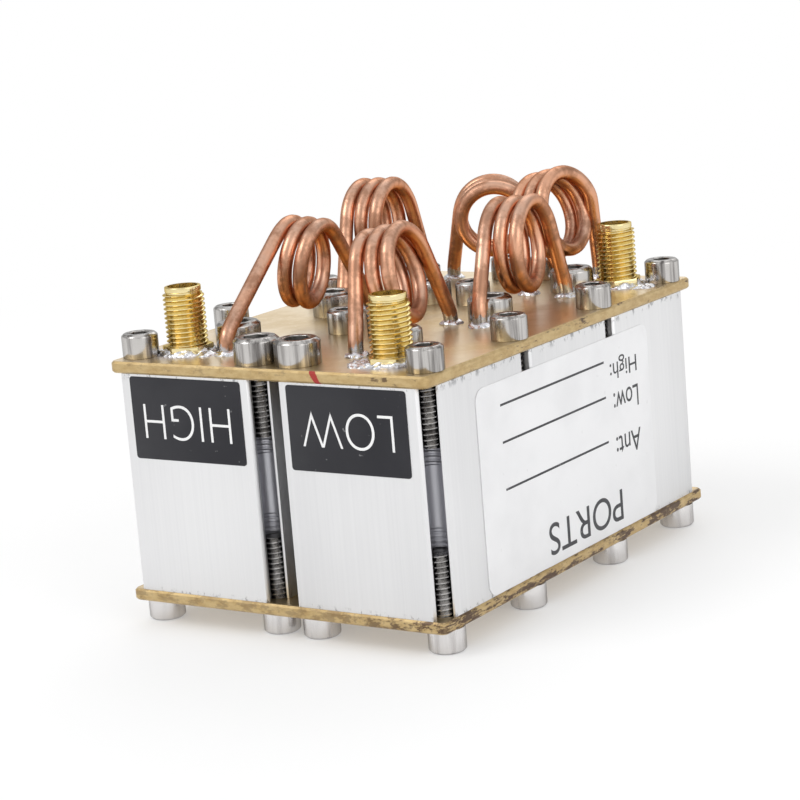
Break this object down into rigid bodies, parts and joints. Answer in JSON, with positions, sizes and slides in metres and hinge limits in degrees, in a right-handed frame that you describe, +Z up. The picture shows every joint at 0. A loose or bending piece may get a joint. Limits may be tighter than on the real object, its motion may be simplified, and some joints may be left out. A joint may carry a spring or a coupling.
{
  "type": "rf duplexer",
  "caption": "Bench-built cavity duplexer: two extruded aluminium blocks between brass plates, with air-wound copper coils and coaxial jacks on top.",
  "frame": {"origin": "centre of the footprint at the faces of the lower screw heads, which it stands on", "axes": "+Z up, +X to the right along the front with the two port labels, -Y out of that front"},
  "size_m": [0.0576, 0.0804, 0.0614],
  "materials": {
    "block": "satin extruded",
    "top_plate": "polished",
    "bottom_plate": "polished",
    "cap_screw": "bright plated",
    "coil_wire": "bare copper, lightly tarnished",
    "jack_shell": "gold plated",
    "jack_contact": "gold plated",
    "jack_insulator": "plain",
    "solder": "dull, flowed",
    "side_label": "paper-like film",
    "port_label": "semi-gloss film",
    "resonator": "turned",
    "tuner": "turned",
    "tuning_disc": "turned"
  },
  "bodies": {
    "duplexer": {"antenna_jack_contact": "jack_contact", "antenna_jack_insulator": "jack_insulator", "antenna_jack_shell": "jack_shell", "bottom_plate": "bottom_plate", "bottom_screws": "cap_screw", "coil_solder": "solder", "high_block": "block", "high_front_resonator": "resonator", "high_input_coil": "coil_wire", "high_jack_contact": "jack_contact", "high_jack_insulator": "jack_insulator", "high_jack_shell": "jack_shell", "high_label": "port_label", "high_link_coil": "coil_wire", "high_middle_resonator": "resonator", "high_output_coil": "coil_wire", "high_rear_resonator": "resonator", "jack_solder": "solder", "lock_nuts": "tuner", "low_block": "block", "low_front_resonator": "resonator", "low_input_coil": "coil_wire", "low_jack_contact": "jack_contact", "low_jack_insulator": "jack_insulator", "low_jack_shell": "jack_shell", "low_label": "port_label", "low_link_coil": "coil_wire", "low_middle_resonator": "resonator", "low_output_coil": "coil_wire", "low_rear_resonator": "resonator", "side_label": "side_label", "top_plate": "top_plate", "top_screws": "cap_screw", "wide_top_screws": "cap_screw"},
    "high_front_disc": {"high_front_tuning_disc": "tuning_disc"},
    "high_front_screw": {"high_front_tuning_screw": "tuner"},
    "high_middle_disc": {"high_middle_tuning_disc": "tuning_disc"},
    "high_middle_screw": {"high_middle_tuning_screw": "tuner"},
    "high_rear_disc": {"high_rear_tuning_disc": "tuning_disc"},
    "high_rear_screw": {"high_rear_tuning_screw": "tuner"},
    "low_front_disc": {"low_front_tuning_disc": "tuning_disc"},
    "low_front_screw": {"low_front_tuning_screw": "tuner"},
    "low_middle_disc": {"low_middle_tuning_disc": "tuning_disc"},
    "low_middle_screw": {"low_middle_tuning_screw": "tuner"},
    "low_rear_disc": {"low_rear_tuning_disc": "tuning_disc"},
    "low_rear_screw": {"low_rear_tuning_screw": "tuner"}
  },
  "joints": [
    {"name": "high_front_travel", "type": "slide", "parent": "duplexer", "child": "high_front_disc", "axis": [0, 0, 1], "range_m": [-0.00079, 0.00238]},
    {"name": "high_front_turn", "type": "hinge", "parent": "high_front_disc", "child": "high_front_screw", "pos_m": [-0.0148, -0.0255, 0.008], "axis": [0, 0, 1], "range_deg": [-360, 1080]},
    {"name": "high_middle_travel", "type": "slide", "parent": "duplexer", "child": "high_middle_disc", "axis": [0, 0, 1], "range_m": [-0.00079, 0.00238]},
    {"name": "high_middle_turn", "type": "hinge", "parent": "high_middle_disc", "child": "high_middle_screw", "pos_m": [-0.0148, 0, 0.008], "axis": [0, 0, 1], "range_deg": [-360, 1080]},
    {"name": "high_rear_travel", "type": "slide", "parent": "duplexer", "child": "high_rear_disc", "axis": [0, 0, 1], "range_m": [-0.00079, 0.00238]},
    {"name": "high_rear_turn", "type": "hinge", "parent": "high_rear_disc", "child": "high_rear_screw", "pos_m": [-0.0148, 0.0255, 0.008], "axis": [0, 0, 1], "range_deg": [-360, 1080]},
    {"name": "low_front_travel", "type": "slide", "parent": "duplexer", "child": "low_front_disc", "axis": [0, 0, 1], "range_m": [-0.00079, 0.00238]},
    {"name": "low_front_turn", "type": "hinge", "parent": "low_front_disc", "child": "low_front_screw", "pos_m": [0.0148, -0.0255, 0.008], "axis": [0, 0, 1], "range_deg": [-360, 1080]},
    {"name": "low_middle_travel", "type": "slide", "parent": "duplexer", "child": "low_middle_disc", "axis": [0, 0, 1], "range_m": [-0.00079, 0.00238]},
    {"name": "low_middle_turn", "type": "hinge", "parent": "low_middle_disc", "child": "low_middle_screw", "pos_m": [0.0148, 0, 0.008], "axis": [0, 0, 1], "range_deg": [-360, 1080]},
    {"name": "low_rear_travel", "type": "slide", "parent": "duplexer", "child": "low_rear_disc", "axis": [0, 0, 1], "range_m": [-0.00079, 0.00238]},
    {"name": "low_rear_turn", "type": "hinge", "parent": "low_rear_disc", "child": "low_rear_screw", "pos_m": [0.0148, 0.0255, 0.008], "axis": [0, 0, 1], "range_deg": [-360, 1080]}
  ],
  "couplings": [
    {"joint": "high_front_turn", "follows": "high_front_travel", "rad_per_m": 7915.8},
    {"joint": "high_middle_turn", "follows": "high_middle_travel", "rad_per_m": 7915.8},
    {"joint": "high_rear_turn", "follows": "high_rear_travel", "rad_per_m": 7915.8},
    {"joint": "low_front_turn", "follows": "low_front_travel", "rad_per_m": 7915.8},
    {"joint": "low_middle_turn", "follows": "low_middle_travel", "rad_per_m": 7915.8},
    {"joint": "low_rear_turn", "follows": "low_rear_travel", "rad_per_m": 7915.8}
  ]
}
